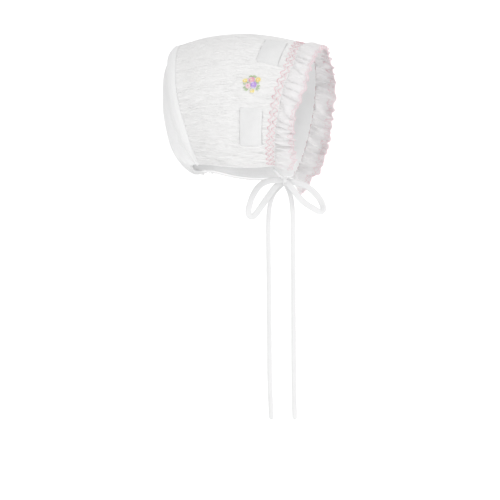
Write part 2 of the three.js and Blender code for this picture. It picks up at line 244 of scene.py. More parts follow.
def tube_parts(path, radius, sides=6, flat=None, thick=None, close=False):
    """Vertices and faces of a tube with closed ends along path; radius may vary along it. With flat and thick it is a flat section."""
    path = np.asarray(path, float)
    n = len(path)
    if close:
        t = unit(np.roll(path, -1, 0) - np.roll(path, 1, 0))
    else:
        t = unit(np.gradient(path, axis=0))
    if flat is None:
        ref = np.array([0.0, 0.0, 1.0]) if abs(t[0][2]) < 0.8 else np.array([1.0, 0.0, 0.0])
        flats = np.empty_like(path)
        f = unit(ref - np.dot(ref, t[0]) * t[0])
        for k in range(n):
            f = unit(f - np.dot(f, t[k]) * t[k])
            flats[k] = f
    else:
        flats = np.broadcast_to(np.asarray(flat, float), path.shape)
        flats = unit(flats - np.sum(flats * t, -1, keepdims=True) * t)
    across = np.cross(t, flats)
    radius = np.broadcast_to(np.asarray(radius, float), (n,))
    thick = radius if thick is None else np.broadcast_to(np.asarray(thick, float), (n,))
    q = 2 * math.pi * (np.arange(sides) + 0.5) / sides
    c, s_ = np.cos(q), np.sin(q)
    ring = path[:, None] + across[:, None] * (radius[:, None] * c)[..., None] + flats[:, None] * (thick[:, None] * s_)[..., None]
    verts = ring.reshape(-1, 3)
    faces = []
    m = n if close else n - 1
    for i in range(m):
        i2 = (i + 1) % n
        for j in range(sides):
            j2 = (j + 1) % sides
            faces.append((i * sides + j, i * sides + j2, i2 * sides + j2, i2 * sides + j))
    if not close:
        faces.append(tuple(range(sides))[::-1])
        faces.append(tuple((n - 1) * sides + j for j in range(sides)))
    return verts, faces


def many_tubes(name, paths, radius, sides, mat, slot, ends=0.6):
    """Many short threads in one mesh, each thinner at its ends."""
    V, F, o = [], [], 0
    for k, p in enumerate(paths):
        p = np.asarray(p, float)
        n = len(p)
        u = np.linspace(-1, 1, n)
        r = radius[k] if isinstance(radius, (list, np.ndarray)) else radius
        rr = r * (1 - (1 - ends) * np.abs(u) ** 4)
        v, f = tube_parts(p, rr, sides)
        V.append(v)
        F += [tuple(x + o for x in g) for g in f]
        o += len(v)
    return make_mesh(name, np.concatenate(V), F, None, mat, slot)


# ------------------------------------------------------------------ materials
def node(nt, kind, **inputs):
    nd = nt.nodes.new(kind)
    for k, v in inputs.items():
        nd.inputs[k.replace("_", " ")].default_value = v
    return nd


def cloth(name, light, dark, rough=0.9, scale=1.0, weave=0.5, bump=0.35, patch=18.0, sheen=0.25, spec=0.25, streak=None, crepe=None, through=0.0, edge=None, uv=True):
    """Woven cloth: weave and slub bump, soft colour variation, fibre sheen. weave is the thread spacing in mm."""
    m = bpy.data.materials.new(name)
    m.use_nodes = True
    nt = m.node_tree
    nt.nodes.clear()
    out = nt.nodes.new("ShaderNodeOutputMaterial")
    bs = nt.nodes.new("ShaderNodeBsdfPrincipled")
    nt.links.new(bs.outputs["BSDF"], out.inputs["Surface"])
    bs.inputs["Roughness"].default_value = rough
    bs.inputs["Sheen Weight"].default_value = sheen
    bs.inputs["Sheen Roughness"].default_value = 0.5
    bs.inputs["Specular IOR Level"].default_value = spec
    tc = nt.nodes.new("ShaderNodeTexCoord")
    coord = tc.outputs["UV"] if uv else tc.outputs["Object"]
    k = 1000.0 if not uv else 1.0      # uv is in millimetres, object space in metres
    mp = node(nt, "ShaderNodeMapping")
    mp.inputs["Scale"].default_value = (k, k, k)
    nt.links.new(coord, mp.inputs["Vector"])
    # soft patches of tone
    big = node(nt, "ShaderNodeTexNoise", Scale=1.0 / patch, Detail=3.0, Roughness=0.55)
    nt.links.new(mp.outputs["Vector"], big.inputs["Vector"])
    slub = node(nt, "ShaderNodeTexNoise", Scale=0.9, Detail=4.0, Roughness=0.6)
    st = nt.nodes.new("ShaderNodeMapping")
    st.inputs["Scale"].default_value = streak or (1.0, 1.0, 1.0)
    nt.links.new(mp.outputs["Vector"], st.inputs["Vector"])
    nt.links.new(st.outputs["Vector"], slub.inputs["Vector"])
    ramp = nt.nodes.new("ShaderNodeValToRGB")
    ramp.color_ramp.elements[0].position, ramp.color_ramp.elements[1].position = 0.3, 0.7
    ramp.color_ramp.elements[0].color = (*dark, 1)
    ramp.color_ramp.elements[1].color = (*light, 1)
    add = nt.nodes.new("ShaderNodeMath"); add.operation = "MULTIPLY_ADD"
    nt.links.new(slub.outputs["Fac"], add.inputs[0])
    add.inputs[1].default_value = 0.5
    half = nt.nodes.new("ShaderNodeMath"); half.operation = "MULTIPLY"
    nt.links.new(big.outputs["Fac"], half.inputs[0])
    half.inputs[1].default_value = 0.5
    nt.links.new(half.outputs[0], add.inputs[2])
    nt.links.new(add.outputs[0], ramp.inputs["Fac"])
    colour = ramp.outputs["Color"]
    if edge:
        # a pink blush where the edging thread is worked in, across these millimetres
        sp = nt.nodes.new("ShaderNodeSeparateXYZ")
        nt.links.new(mp.outputs["Vector"], sp.inputs[0])
        mr = nt.nodes.new("ShaderNodeMapRange")
        mr.interpolation_type = "SMOOTHSTEP"
        mr.inputs["From Min"].default_value, mr.inputs["From Max"].default_value = edge
        mr.inputs["To Max"].default_value = 0.8
        nt.links.new(sp.outputs["Y"], mr.inputs["Value"])
        tint = nt.nodes.new("ShaderNodeMix")
        tint.data_type, tint.blend_type = "RGBA", "MULTIPLY"
        nt.links.new(mr.outputs["Result"], tint.inputs["Factor"])
        nt.links.new(colour, tint.inputs[6])
        tint.inputs[7].default_value = (0.972, 0.938, 0.948, 1)
        colour = tint.outputs[2]
    nt.links.new(colour, bs.inputs["Base Color"])
    # weave: two crossed sets of threads
    w1 = node(nt, "ShaderNodeTexWave", Scale=0.3142 / weave, Distortion=1.2, Detail=2.0)
    w1.bands_direction = "X"
    w2 = node(nt, "ShaderNodeTexWave", Scale=0.3142 / weave, Distortion=1.2, Detail=2.0)
    w2.bands_direction = "Y"
    for w in (w1, w2):
        w.inputs["Detail Scale"].default_value = 2.0
        nt.links.new(mp.outputs["Vector"], w.inputs["Vector"])
    mul = nt.nodes.new("ShaderNodeMath"); mul.operation = "MULTIPLY"
    nt.links.new(w1.outputs["Fac"], mul.inputs[0])
    nt.links.new(w2.outputs["Fac"], mul.inputs[1])
    b1 = node(nt, "ShaderNodeBump", Strength=bump, Distance=0.00008 * scale)
    nt.links.new(mul.outputs[0], b1.inputs["Height"])
    b2 = node(nt, "ShaderNodeBump", Strength=min(1.0, bump * 1.6), Distance=0.00055 * scale)
    nt.links.new(slub.outputs["Fac"], b2.inputs["Height"])
    nt.links.new(b1.outputs["Normal"], b2.inputs["Normal"])
    last = b2
    if crepe:
        # crepe: long thin creases along one direction, of two sizes
        for size, along, deep in ((crepe[0], crepe[1], crepe[2]), (crepe[0] * 0.5, crepe[1] * 0.6, crepe[2] * 0.6)):
            cm = nt.nodes.new("ShaderNodeMapping")
            cm.inputs["Scale"].default_value = (1.0 / along, 1.0 / size, 1.0)
            cm.inputs["Location"].default_value = (3.7 * size, 1.9 * along, 0.0)
            bend = node(nt, "ShaderNodeTexNoise", Scale=0.07, Detail=2.0, Roughness=0.5)
            nt.links.new(mp.outputs["Vector"], bend.inputs["Vector"])
            push = nt.nodes.new("ShaderNodeVectorMath"); push.operation = "MULTIPLY_ADD"
            nt.links.new(bend.outputs["Color"], push.inputs[0])
            push.inputs[1].default_value = (0.0, 7.0, 0.0)
            nt.links.new(mp.outputs["Vector"], push.inputs[2])
            nt.links.new(push.outputs["Vector"], cm.inputs["Vector"])
            cr = node(nt, "ShaderNodeTexNoise", Scale=1.0, Detail=3.0, Roughness=0.5)
            nt.links.new(cm.outputs["Vector"], cr.inputs["Vector"])
            # the crease lies where the noise crosses its middle value
            off = nt.nodes.new("ShaderNodeMath"); off.operation = "SUBTRACT"
            nt.links.new(cr.outputs["Fac"], off.inputs[0])
            off.inputs[1].default_value = 0.5
            mag = nt.nodes.new("ShaderNodeMath"); mag.operation = "ABSOLUTE"
            nt.links.new(off.outputs[0], mag.inputs[0])
            cap = nt.nodes.new("ShaderNodeMath"); cap.operation = "MINIMUM"
            nt.links.new(mag.outputs[0], cap.inputs[0])
            cap.inputs[1].default_value = 0.12
            up = nt.nodes.new("ShaderNodeMath"); up.operation = "MULTIPLY"
            nt.links.new(cap.outputs[0], up.inputs[0])
            up.inputs[1].default_value = 8.0
            bc = node(nt, "ShaderNodeBump", Strength=1.0, Distance=deep * 0.001)
            nt.links.new(up.outputs[0], bc.inputs["Height"])
            nt.links.new(last.outputs["Normal"], bc.inputs["Normal"])
            last = bc
    nt.links.new(last.outputs["Normal"], bs.inputs["Normal"])
    if through:
        # one thin layer: light from behind comes through
        tl = nt.nodes.new("ShaderNodeBsdfTranslucent")
        nt.links.new(colour, tl.inputs["Color"])
        nt.links.new(last.outputs["Normal"], tl.inputs["Normal"])
        mx = nt.nodes.new("ShaderNodeMixShader")
        mx.inputs["Fac"].default_value = through
        nt.links.new(bs.outputs["BSDF"], mx.inputs[1])
        nt.links.new(tl.outputs["BSDF"], mx.inputs[2])
        nt.links.new(mx.outputs["Shader"], out.inputs["Surface"])
    return m


def thread(name, light, dark, twist=0.5, rough=0.55):
    """Embroidery thread: twisted plies and a soft shine."""
    m = bpy.data.materials.new(name)
    m.use_nodes = True
    nt = m.node_tree
    bs = nt.nodes["Principled BSDF"]
    bs.inputs["Roughness"].default_value = rough
    bs.inputs["Sheen Weight"].default_value = 0.2
    bs.inputs["Specular IOR Level"].default_value = 0.4
    tc = nt.nodes.new("ShaderNodeTexCoord")
    w = node(nt, "ShaderNodeTexWave", Scale=314.2 / twist, Distortion=2.0, Detail=2.0)
    w.bands_direction = "DIAGONAL"
    nt.links.new(tc.outputs["Object"], w.inputs["Vector"])
    nz = node(nt, "ShaderNodeTexNoise", Scale=700.0, Detail=3.0)
    nt.links.new(tc.outputs["Object"], nz.inputs["Vector"])
    ramp = nt.nodes.new("ShaderNodeValToRGB")
    ramp.color_ramp.elements[0].position, ramp.color_ramp.elements[1].position = 0.3, 0.7
    ramp.color_ramp.elements[0].color = (*dark, 1)
    ramp.color_ramp.elements[1].color = (*light, 1)
    nt.links.new(nz.outputs["Fac"], ramp.inputs["Fac"])
    nt.links.new(ramp.outputs["Color"], bs.inputs["Base Color"])
    b = node(nt, "ShaderNodeBump", Strength=0.5, Distance=0.00008)
    nt.links.new(w.outputs["Fac"], b.inputs["Height"])
    nt.links.new(b.outputs["Normal"], bs.inputs["Normal"])
    return m


M_BODY = cloth("crinkled cotton gauze", (0.826, 0.822, 0.820), (0.79, 0.785, 0.782), rough=0.95, weave=0.55, bump=0.4, streak=(0.3, 0.8, 1.0), crepe=(2.4, 52.0, 0.20))
M_BACK = cloth("smooth cotton lawn", (0.80, 0.80, 0.80), (0.77, 0.77, 0.77), rough=0.85, weave=0.35, bump=0.25, patch=30)
# the lining's colour is set below the back panel's, so that its painted glow does not lift it too far
M_LINING = cloth("cotton lining", (0.75, 0.75, 0.751), (0.72, 0.72, 0.722), rough=0.85, weave=0.35, bump=0.25, patch=30)
M_FRILL = cloth("ruffle cotton", (0.915, 0.908, 0.909), (0.885, 0.876, 0.878), rough=0.9, weave=0.4, bump=0.35, streak=(1.1, 0.25, 1.0), through=0.36, edge=(15.6, 20.2))
# painted light: the lining is given a glow of its own, standing in for light that comes through the thin cotton and
# bounces inside
M_LINING.node_tree.nodes["Principled BSDF"].inputs["Emission Color"].default_value = (1, 1, 1, 1)
M_LINING.node_tree.nodes["Principled BSDF"].inputs["Emission Strength"].default_value = 0.21


def lining_painted_glow():
    """Painted light: the lining's glow, in place of light let through the thin cotton and bounced inside, stronger
    towards its lower edges.
    """
    nt = M_LINING.node_tree
    tc, sp = nt.nodes.new("ShaderNodeTexCoord"), nt.nodes.new("ShaderNodeSeparateXYZ")
    nt.links.new(tc.outputs["UV"], sp.inputs[0])
    mag = nt.nodes.new("ShaderNodeMath"); mag.operation = "ABSOLUTE"
    nt.links.new(sp.outputs["Y"], mag.inputs[0])
    mr = nt.nodes.new("ShaderNodeMapRange")
    mr.inputs["From Min"].default_value, mr.inputs["From Max"].default_value = 115.0, 165.0
    mr.inputs["To Min"].default_value, mr.inputs["To Max"].default_value = 0.30, 1.0
    nt.links.new(mag.outputs[0], mr.inputs["Value"])
    mix = nt.nodes.new("ShaderNodeMix")
    mix.data_type = "RGBA"
    nt.links.new(mr.outputs["Result"], mix.inputs["Factor"])
    mix.inputs[6].default_value, mix.inputs[7].default_value = (0, 0, 0, 1), (1, 1, 1, 1)
    nt.links.new(mix.outputs[2], nt.nodes["Principled BSDF"].inputs["Emission Color"])


lining_painted_glow()
M_SATIN = cloth("satin ribbon", (0.755, 0.755, 0.755), (0.70, 0.70, 0.70), rough=0.5, weave=0.22, bump=0.16, patch=10, sheen=0.03, spec=0.22)
M_TAPE = cloth("tie tape", (0.765, 0.765, 0.768), (0.73, 0.73, 0.733), rough=0.7, weave=0.3, bump=0.25, patch=9, sheen=0.08, spec=0.25)
M_WHITE_THREAD = thread("white sewing thread", (0.87, 0.87, 0.87), (0.80, 0.80, 0.80))
M_PINK_THREAD = thread("pink smocking thread", (0.86, 0.61, 0.65), (0.79, 0.52, 0.56))
M_PALE_THREAD = thread("pale pink smocking thread", (0.89, 0.71, 0.74), (0.83, 0.62, 0.66))
M_PINK_EDGE = thread("pale pink edging thread", (0.88, 0.72, 0.75), (0.81, 0.60, 0.64))
# a dark old rose, partly the thread's own colour and partly painted shade for the hollows of the seam's gathers
M_SEAM_THREAD_AND_SHADE = thread("old rose thread and painted shade", (0.62, 0.40, 0.44), (0.50, 0.30, 0.34))
M_DEEP_PINK = thread("deep pink smocking thread", (0.76, 0.46, 0.52), (0.68, 0.38, 0.44))

# ------------------------------------------------------------------ ties (cords), first as their route decides the layout
TIE_W, TIE_T = 6.0, 1.5
KNOT = np.array([-4, -53.4, -151.2])
LEAD_R = [(-31.5, -48.5, -143.3), (-26.5, -49.9, -145.2), (-19, -50.2, -146.1), (-11.5, -50.7, -147.5)]
LEAD_L = [(31, -49.6, -143.9), (24, -50.4, -145.9), (15, -51.6, -147.8), (6.5, -52.6, -149.8)]
LOOP_R = [(-7.4, -54.2, -151.8), (-7.8, -49.3, -150.7), (-9, -44.9, -150.4), (-10.5, -39.1, -151),
          (-11.5, -29.6, -155.1), (-12, -22.6, -164), (-11.8, -18.6, -173.8), (-11, -16.9, -181.2),
          (-9.8, -17.5, -185.2), (-8.6, -20.2, -186.1), (-7.8, -23.2, -184.1), (-7.2, -26.3, -179.9),
          (-6.8, -30.8, -173.6), (-6.2, -37.9, -163.9), (-5.4, -44.4, -155.8), (-4.8, -48.7, -152.8),
          (-4.2, -53.4, -151.2)]
LOOP_L = [(-1, -52.6, -150.6), (-0.8, -57.6, -151.2), (0.4, -63, -152.3), (2.2, -71.8, -155.5),
          (3, -79.8, -161.4), (3, -85.8, -168.5), (2, -89.7, -175.9), (0.4, -90.8, -180.5),
          (-1.4, -89, -183.2), (-3.2, -85.8, -182.5), (-5, -81.6, -179.9), (-6.8, -73.9, -174.6),
          (-7.8, -67.1, -167.4), (-7.8, -60.6, -159.1), (-7.6, -57.3, -155), (-7.4, -54.2, -151.8)]
TAIL_R = [(-1.4, -52.7, -150.7), (-1.2, -47.8, -154.2), (-1.4, -43.7, -158.3), (-2.4, -40.2, -163.8),
          (-3.8, -38.1, -170.4), (-5, -36.7, -179.1), (-6, -36.3, -188.8), (-7, -36.4, -210.1),
          (-7.5, -36.9, -240.1), (-7, -37, -269.9), (-7, -37.2, -299.5), (-7, -37.3, -329),
          (-7, -37.6, -353.4), (-7, -38.3, -369.9), (-7, -39.1, -387)]
TAIL_L = [(-4.4, -53.5, -151.2), (-4.2, -55.3, -157.2), (-3.6, -57.4, -162.8), (-2.4, -58.7, -169.1),
          (-1, -59.4, -177), (0.6, -59.6, -188.9), (1.8, -59.4, -209.8), (2, -59.5, -239.8),
          (2, -59.5, -269.6), (2, -59.5, -299.3), (2, -59.5, -328.8), (2, -59.6, -353.3),
          (2, -59.9, -369.8), (2, -60.4, -386.9)]


def spline(pts, step=1.0):
    """Centripetal Catmull-Rom through the points, resampled at about step mm."""
    P = np.asarray(pts, float)
    P = np.vstack([2 * P[0] - P[1], P, 2 * P[-1] - P[-2]])
    out = []
    for i in range(1, len(P) - 2):
        p0, p1, p2, p3 = P[i - 1], P[i], P[i + 1], P[i + 2]
        t0 = 0.0
        t1 = t0 + max(1e-6, np.linalg.norm(p1 - p0)) ** 0.5
        t2 = t1 + max(1e-6, np.linalg.norm(p2 - p1)) ** 0.5
        t3 = t2 + max(1e-6, np.linalg.norm(p3 - p2)) ** 0.5
        t = np.linspace(t1, t2, 24, endpoint=False)[:, None]
        a1 = (t1 - t) / (t1 - t0) * p0 + (t - t0) / (t1 - t0) * p1
        a2 = (t2 - t) / (t2 - t1) * p1 + (t - t1) / (t2 - t1) * p2
        a3 = (t3 - t) / (t3 - t2) * p2 + (t - t2) / (t3 - t2) * p3
        b1 = (t2 - t) / (t2 - t0) * a1 + (t - t0) / (t2 - t0) * a2
        b2 = (t3 - t) / (t3 - t1) * a2 + (t - t1) / (t3 - t1) * a3
        out.append((t2 - t) / (t2 - t1) * b1 + (t - t1) / (t2 - t1) * b2)
    line = np.vstack(out + [P[-2][None]])
    d = np.r_[0, np.cumsum(np.linalg.norm(np.diff(line, axis=0), axis=1))]
    n = max(2, int(round(d[-1] / step)) + 1)
    u = np.linspace(0, d[-1], n)
    return np.stack([np.interp(u, d, line[:, k]) for k in range(3)], -1)


def tape(name, route, lead_n, loop_n, seed):
    """A whole tie: soft flat tape along its route, with a turned edge, slight twist and a rounded tip."""
    path = spline(route, 1.0)
    n = len(path)
    # ease the turns that the strands make inside the knot
    for _ in range(6):
        near = np.exp(-(np.linalg.norm(path - KNOT, axis=1) / 5.0) ** 2)[1:-1, None]
        path[1:-1] += 0.5 * near * (0.5 * (path[:-2] + path[2:]) - path[1:-1])
    d = np.r_[0, np.cumsum(np.linalg.norm(np.diff(path, axis=0), axis=1))]
    total = d[-1]
    t = unit(np.gradient(path, axis=0))
    # the flat side: towards -Y on the lead, towards the side of the bonnet after the knot
    lead_len = lead_n
    w = smooth(d, lead_len - 4, lead_len + 2)
    flat = unit(np.outer(1 - w, [0.0, -1.0, 0.25]) + np.outer(w, [-1.0, -0.25, 0.0]))
    roll = 0.30 * noise(d / 42, seed * 7.3, seed) * smooth(d, lead_len + 10, lead_len + 40)
    flat = unit(flat - np.sum(flat * t, -1, keepdims=True) * t)
    across = np.cross(t, flat)
    c, s_ = np.cos(roll)[:, None], np.sin(roll)[:, None]
    flat, across = flat * c + across * s_, across * c - flat * s_
    # narrow where it is drawn to the knot, full in the loop, a little rolled in the tail
    along_lead, along_tail = 1 - smooth(d, lead_len - 3, lead_len + 5), smooth(d, loop_n - 8, loop_n + 14)
    half = (TIE_W / 2 - 1.1 * along_lead - 0.7 * along_tail) * (1 + 0.04 * noise(d / 9, 1.5, seed + 3))
    thick = TIE_T / 2 * (1 + 0.12 * noise(d / 6, 4.5, seed + 5))
    tip = np.clip((total - d) / 2.4, 0, 1)
    half = half * np.sqrt(np.clip(1 - (1 - tip) ** 2, 0.02, 1))
    thick = thick * (0.55 + 0.45 * tip)
    start = np.clip(d / 1.0, 0, 1)
    half = half * (0.85 + 0.15 * start)
    # section: a folded tape, fuller at one edge, with a stitched groove
    sides = 16
    q = 2 * math.pi * (np.arange(sides) + 0.5) / sides
    cx, sy = np.cos(q), np.sin(q)
    ex = np.sign(cx) * np.abs(cx) ** 0.75
    ey = np.sign(sy) * np.abs(sy) ** 0.7 * (1 + 0.18 * ex) - 0.22 * np.exp(-((ex - 0.62) / 0.16) ** 2) * np.sign(sy)
    pucker = 1 + 0.10 * np.sin(d * 2 * math.pi / 2.1)[:, None] * np.exp(-((ex - 0.62) / 0.3) ** 2)[None]
    ring = path[:, None] + across[:, None] * (half[:, None] * ex)[..., None] + flat[:, None] * (thick[:, None] * ey * pucker)[..., None]
    faces = []
    for i in range(n - 1):
        for j in range(sides):
            j2 = (j + 1) % sides
            faces.append((i * sides + j, i * sides + j2, (i + 1) * sides + j2, (i + 1) * sides + j))
    faces.append(tuple(range(sides))[::-1])
    faces.append(tuple((n - 1) * sides + j for j in range(sides)))
    uv = np.stack([np.broadcast_to(half[:, None] * ex, (n, sides)), np.broadcast_to(d[:, None], (n, sides))], -1).reshape(-1, 2)
    ob = make_mesh(name, ring.reshape(-1, 3), faces, uv, M_TAPE, "tie_tape")
    return ob, path, total


def length(pts):
    return float(np.linalg.norm(np.diff(spline(pts), axis=0), axis=1).sum())


tie_r, path_r, len_r = tape("tie_right", LEAD_R + [(-6.8, -52.6, -149.4)] + LOOP_R[1:-1] + [(-3.4, -51.8, -151.0)] + TAIL_R[1:], length(LEAD_R) + 4, length(LEAD_R) + length(LOOP_R) + 8, 1)
tie_l, path_l, len_l = tape("tie_left", LEAD_L + [(0.6, -52.9, -149.9)] + LOOP_L[1:-1] + [(-5.6, -54.0, -151.5)] + TAIL_L[1:], length(LEAD_L) + 4, length(LEAD_L) + length(LOOP_L) + 8, 2)
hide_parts("tie_right_lead", "bow_loop_right", "tie_right_tail")
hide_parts("tie_left_lead", "bow_loop_left", "tie_left_tail")


def knot_mesh():
    """The band of the knot: tape wrapped once over the crossing strands, with pulled folds."""
    R, C = 56, 28
    q = np.linspace(0, 2 * math.pi, R, endpoint=False)[:, None]
    p = np.linspace(0, 2 * math.pi, C, endpoint=False)[None]
    # the loop runs round the strands: mainly in the x-z plane, width along y
    loop_x, loop_z = 3.3, 3.3
    w, th = 3.0, 1.0
    wy = np.cos(p)
    fold = 0.16 * np.sin(5 * wy + 1.3 * np.sin(q) + 0.6) * np.abs(np.sin(p))
    rad = th * np.sin(p) * (0.9 + 0.1 * np.cos(2 * q)) + fold
    width = w * (1 - 0.18 * np.cos(q) ** 2) * np.sign(wy) * np.abs(wy) ** 0.85
    x = (loop_x + rad) * np.cos(q)
    z = (loop_z + rad) * np.sin(q)
    y = np.broadcast_to(width, (R, C)) + 0.12 * z
    pts = np.stack([x, y, z], -1).reshape(-1, 3) + KNOT
    faces = []
    for i in range(R):
        for j in range(C):
            faces.append((i * C + j, i * C + (j + 1) % C, ((i + 1) % R) * C + (j + 1) % C, ((i + 1) % R) * C + j))
    uv = np.stack([np.broadcast_to(width, (R, C)), np.broadcast_to(q * 3.5, (R, C))], -1).reshape(-1, 2)
    ob = make_mesh("bow_knot_wrap", pts, outward(pts, np.array(faces)), uv, M_TAPE, "tie_tape")
    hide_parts("bow_knot")
    return ob


knot = knot_mesh()

# ------------------------------------------------------------------ the body cloth
DEPTH, ARCH = 135.0, 335.0      # front seam to back seam, and round the arch, in mm
ROSES = (0.269, -0.484)


FRONT_A = np.linspace(-1, 1, 161)
FRONT_LEN = np.linalg.norm(body(np.full(161, 0.05), FRONT_A) - body(np.zeros(161), FRONT_A), axis=1) / 0.05


def bow(a):
    """How far the front seam bows forward of its even line, in mm: high on the right side."""
    return 3.2 * np.exp(-((np.asarray(a, float) + 0.345) / 0.105) ** 2)


def front_s(mm, a):
    """s at so many real mm behind the front seam."""
    return (mm - bow(a)) / np.interp(a, FRONT_A, FRONT_LEN)


def window_at(s, b):
    """For each ribbon window: mm inside its sides (negative outside), mm inside its top and bottom slits, and mm in front of its front side."""
    out = []
    for q in WINDOWS.values():
        b0, b1 = (q[0][1] + q[1][1]) / 2, (q[2][1] + q[3][1]) / 2
        v = np.clip((b - b0) / (b1 - b0), 0, 1)
        sr = q[0][0] + (q[3][0] - q[0][0]) * v
        sf = q[1][0] + (q[2][0] - q[1][0]) * v
        out.append((np.minimum(s - sf, sr - s) * DEPTH, np.minimum(b - b0, b1 - b) * ARCH / 2, (sf - s) * DEPTH, (s - sr) * DEPTH))
    return out


def in_window(s, a, pad=0.0):
    """1 inside a ribbon window, falling to 0 outside; soft edges of about 2 mm."""
    out = np.zeros(np.broadcast(s, a).shape)
    for ds, db, _, _ in window_at(s, np.abs(a)):
        out = np.maximum(out, smooth(np.minimum(ds, db) + pad, -1.0, 1.0))
    return out


def crinkle(X, Y):
    """Crinkled gauze: long fine wrinkles that run front to back. X front to back, Y round the arch, in mm."""
    Yw = Y + 1.5 * noise(X / 46, Y / 24, 11) + 0.55 * noise(X / 14, Y / 7, 12)

    def valleys(n, w):
        return 1 - 2 * np.exp(-np.abs(n) / w)

    one = valleys(noise(X / 52, Yw / 3.0, 13), 0.15)
    two = valleys(noise(X / 30 + 31, Yw / 2.1, 20), 0.16)
    mid = noise(X / 52, Yw / 7.5, 15)
    cross_ = noise(X / 6.5, Y / 8, 21)
    power = (0.65 + 0.28 * noise(X / 26, Y / 26, 19)) * (1 - 0.36 * smooth(np.abs(Y), 90.0, 130.0))
    return power * (0.45 * one + 0.40 * two) + 0.22 * mid + 0.07 * cross_


def body_lift(s, a):
    """How far the outer cloth stands off the plain surface, in mm."""
    X, Y = s * DEPTH, a * ARCH / 2
    b = np.abs(a)
    calm = 1 - in_window(s, a, 1.0)
    d2 = ((s - ROSES[0]) * DEPTH) ** 2 + ((a - ROSES[1]) * ARCH / 2) ** 2
    calm = calm * (1 - 0.7 * np.exp(-d2 / 90.0))
    h = crinkle(X, Y) * calm
    # long low folds low on the sides, running back from the lower window
    h = h + (0.5 * noise(X / 55, Y / 30, 16) + 0.34 * smooth(b, 0.45, 0.7) * (1 - 2 * np.exp(-np.abs(noise(X / 60 + 7, (Y + 0.10 * X * np.sign(a)) / 6.5, 22)) / 0.2))) * calm
    # gathers behind the smocking, drawn in by it, and at the back seam
    F = s * np.interp(a, FRONT_A, FRONT_LEN) + bow(a)
    front = 1 - smooth(F, 9.0, 22.0)
    smock = 1 - smooth(F, 8.8, 10.6)
    h = h * (1 - 0.72 * smock)
    h = h + ((0.75 * front * (1 - smock) + 0.35 * smock) * (np.abs(np.sin(math.pi * Y / 3.4 + 1.2 * noise(Y / 14, X / 40, 17))) ** 0.7 - 0.65)) * calm
    rear = np.exp(-((DEPTH - X) / 8.0) ** 2)
    h = h + 0.16 * rear * np.sin(2 * math.pi * Y / 4.3 + 1.5 * noise(Y / 15, 2.5, 18))
    # seams pull the cloth in
    h = h - 0.05 * np.exp(-(F / 1.2) ** 2) - 0.05 * np.exp(-((DEPTH - X) / 1.4) ** 2)
    # ribbon windows: a rolled welt over each slit and a gathered row down each side
    for ds, db, ahead, behind in window_at(s, b):
        inside = smooth(ds, -1.5, 0.8)
        out_ = -db
        h = h * (1 - inside * np.exp(-((out_ - 1.0) / 1.6) ** 2)) + inside * 1.25 * np.exp(-((out_ - 1.3) / 1.15) ** 2)
        level = smooth(db, -1.0, 1.0)
        for e, cut in ((ahead, 0.15), (behind, 0.38)):
            h = h + level * (0.30 * np.exp(-((e - 1.4) / 1.1) ** 2) * (1 + 0.8 * np.sin(2 * math.pi * Y / 2.3)) - cut * np.exp(-((e - 0.2) / 0.7) ** 2))
    # hem: a turned edge and its stitch line
    e = (1 - b) * ARCH / 2
    h = h * smooth(e, 0.0, 5.0) + 0.25 * (1 - smooth(e, 3.0, 4.2)) - 0.12 * np.exp(-((e - 3.6) / 0.6) ** 2)
    h = h + 0.30 * np.exp(-(e / 3.0) ** 2) * np.sin(2 * math.pi * X / 5.2 + 2.0 * noise(X / 17, 3.1, 23))
    return h


def arch_samples(n):
    """Arch positions evenly spaced along the middle of the body."""
    a = np.linspace(-1, 1, 801)
    p = body(0.4, a)
    d = np.r_[0, np.cumsum(np.linalg.norm(np.diff(p, axis=0), axis=1))]
    return np.interp(np.linspace(0, d[-1], n), d, a)


def seam_rows(a, depth, shift):
    """Seam edge between body and back panel, offset along the shared mitre."""
    tb, _, nb = frames(body, np.ones_like(a), a)
    tk, _, nk = frames(back, np.zeros_like(a), a)
    m = nb + nk
    k = depth / (1 + np.sum(nb * nk, -1, keepdims=True))
    return body(np.ones_like(a), a) - m * k + (tb if shift < 0 else tk) * shift


def make_body():
    S, A = 80, 600
    s = np.linspace(0, 1, S)
    a = arch_samples(A)
    sg, ag = np.meshgrid(s, a, indexing="ij")
    start = front_s(0.0, ag)
    sg = start + (1 - start) * sg
    P = body(sg, ag)
    _, _, N = frames(body, sg, ag)
    lift = body_lift(sg, ag)
    top = P + N * lift[..., None]
    low = P - N * np.full(lift.shape, 1.1)[..., None]
    low = np.where((lift < -0.8)[..., None], P + N * (lift - 0.3)[..., None], low)
    top[-1] = seam_rows(a, 0.25, 0.0)
    low[-1] = seam_rows(a, 1.1, 0.0)
    uv = np.stack([sg * DEPTH, ag * ARCH / 2], -1)
    ob = shell("body_cloth", top, low, uv, M_BODY, "crinkle_cotton")
    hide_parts("crown_body")
    return ob


body_cloth = make_body()


def back_lift(r, a):
    b = np.abs(a)
    R_, A_ = r * 70.0, a * 100.0
    h = 0.7 * noise(R_ / 30, A_ / 22, 31) * smooth(r, 0, 0.2)
    # a wide smooth roll beside the seam, then a soft valley
    wide = 8.6 + 0.8 * noise(A_ / 24, 1.7, 34)
    h = h + 0.4 + 1.25 * smooth(R_, 0.0, 2.4) * (1 - smooth(R_, wide - 2.5, wide + 1.5)) - 0.6 * smooth(R_, 8, 14) - 1.0 * np.exp(-((R_ - wide - 2.6) / 2.0) ** 2)
    h = h + 0.35 * np.exp(-((R_ - wide - 8) / 3.5) ** 2)
    # gathers towards the neck edge
    g = smooth(r, 0.42, 0.95)
    ph = 2 * math.pi * (a * 13 + 0.30 * noise(r * 3, a * 7, 32))
    h = h + g * 1.45 * (np.sin(ph) + 0.4 * np.sin(2 * ph + 1.0)) * (1 - 0.4 * b ** 4)
    h = h + 0.8 * smooth(r, 0.2, 0.5) * (1 - g) * noise(r * 1.6, a * 9, 35)
    corner = np.exp(-((1 - b) / 0.12) ** 2) * smooth(r, 0.55, 0.9)
    h = h + corner * (0.8 + 1.4 * np.sin(2 * math.pi * a * 24 + 2 * noise(a * 40, r * 3, 36)))
    return h


